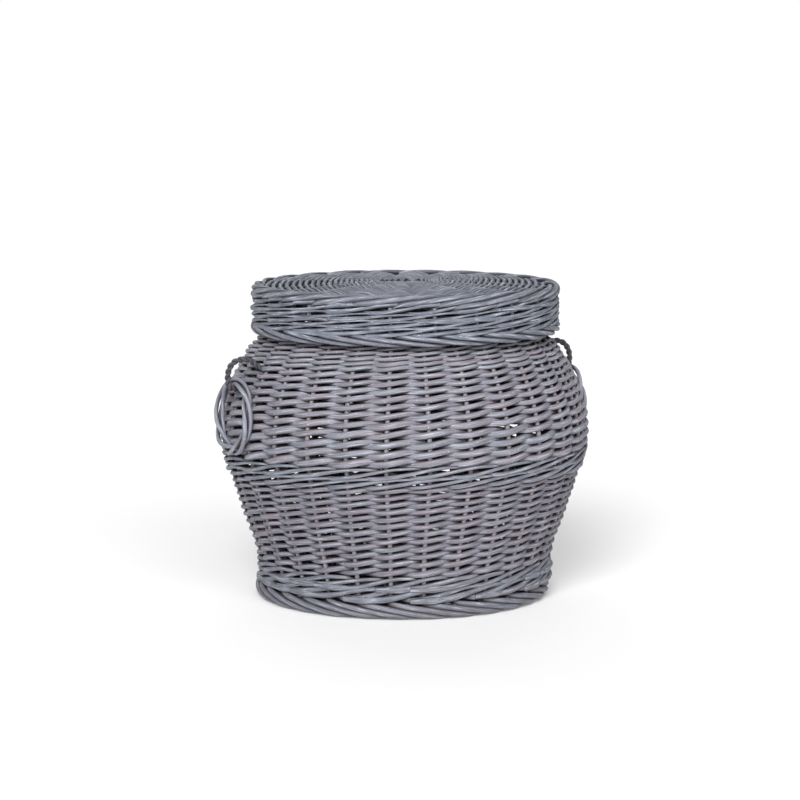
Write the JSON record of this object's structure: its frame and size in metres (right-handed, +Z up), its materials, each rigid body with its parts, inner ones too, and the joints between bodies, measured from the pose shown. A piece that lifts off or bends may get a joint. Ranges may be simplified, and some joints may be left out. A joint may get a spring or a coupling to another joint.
{
  "type": "lidded laundry basket",
  "caption": "Round bellied woven basket with a lift-off woven lid and hanging ring handles, for holding laundry.",
  "frame": {"origin": "on the floor at the middle of the foot border", "axes": "+Z up through the middle of the lid, the two ring handles on +X and -X"},
  "size_m": [0.486, 0.46, 0.3897],
  "materials": {
    "weave": "grey-washed peeled willow weavers, matt",
    "thick_rods": "grey-washed thick willow rods, matt",
    "stake": "grey-washed willow stakes, reddish in places, matt",
    "ring": "smooth grey-washed cane, twisted, satin",
    "rope": "dark twisted cord"
  },
  "bodies": {
    "basket": {"body_stake_01": "stake", "body_stake_02": "stake", "body_stake_03": "stake", "body_stake_04": "stake", "body_stake_05": "stake", "body_stake_06": "stake", "body_stake_07": "stake", "body_stake_08": "stake", "body_stake_09": "stake", "body_stake_10": "stake", "body_stake_11": "stake", "body_stake_12": "stake", "body_stake_13": "stake", "body_stake_14": "stake", "body_stake_15": "stake", "body_stake_16": "stake", "body_stake_17": "stake", "body_stake_18": "stake", "body_stake_19": "stake", "body_stake_20": "stake", "body_stake_21": "stake", "body_stake_22": "stake", "body_stake_23": "stake", "body_stake_24": "stake", "body_stake_25": "stake", "body_stake_26": "stake", "body_stake_27": "stake", "body_stake_28": "stake", "base_stick_01": "stake", "base_stick_02": "stake", "base_stick_03": "stake", "base_stick_04": "stake", "base_stick_05": "stake", "base_weave": "weave", "foot_border": "thick_rods", "upsett_wale": "thick_rods", "lower_siding": "weave", "waist_wale": "thick_rods", "upper_siding": "weave", "shoulder_siding": "weave", "mouth_border": "thick_rods", "loop_left": "rope", "loop_right": "rope"},
    "lid": {"lid_rib_01": "stake", "lid_rib_02": "stake", "lid_rib_03": "stake", "lid_rib_04": "stake", "lid_rib_05": "stake", "lid_rib_06": "stake", "lid_rib_07": "stake", "lid_rib_08": "stake", "lid_rib_09": "stake", "lid_rib_10": "stake", "lid_rib_11": "stake", "lid_top_weave": "weave", "lid_rim": "thick_rods", "lid_siding": "thick_rods", "lid_border": "thick_rods"},
    "left_ring": {"ring_left": "ring"},
    "right_ring": {"ring_right": "ring"}
  },
  "joints": [
    {"name": "lid_lift", "type": "slide", "parent": "basket", "child": "lid", "axis": [0, 0, 1], "range_m": [0, 0.25]},
    {"name": "ring_right_swing", "type": "hinge", "parent": "basket", "child": "right_ring", "pos_m": [0.22881, 0, 0.28], "axis": [0, -1, 0], "range_deg": [0, 165]},
    {"name": "ring_left_swing", "type": "hinge", "parent": "basket", "child": "left_ring", "pos_m": [-0.22881, 0, 0.28], "axis": [0, 1, 0], "range_deg": [0, 165]}
  ]
}
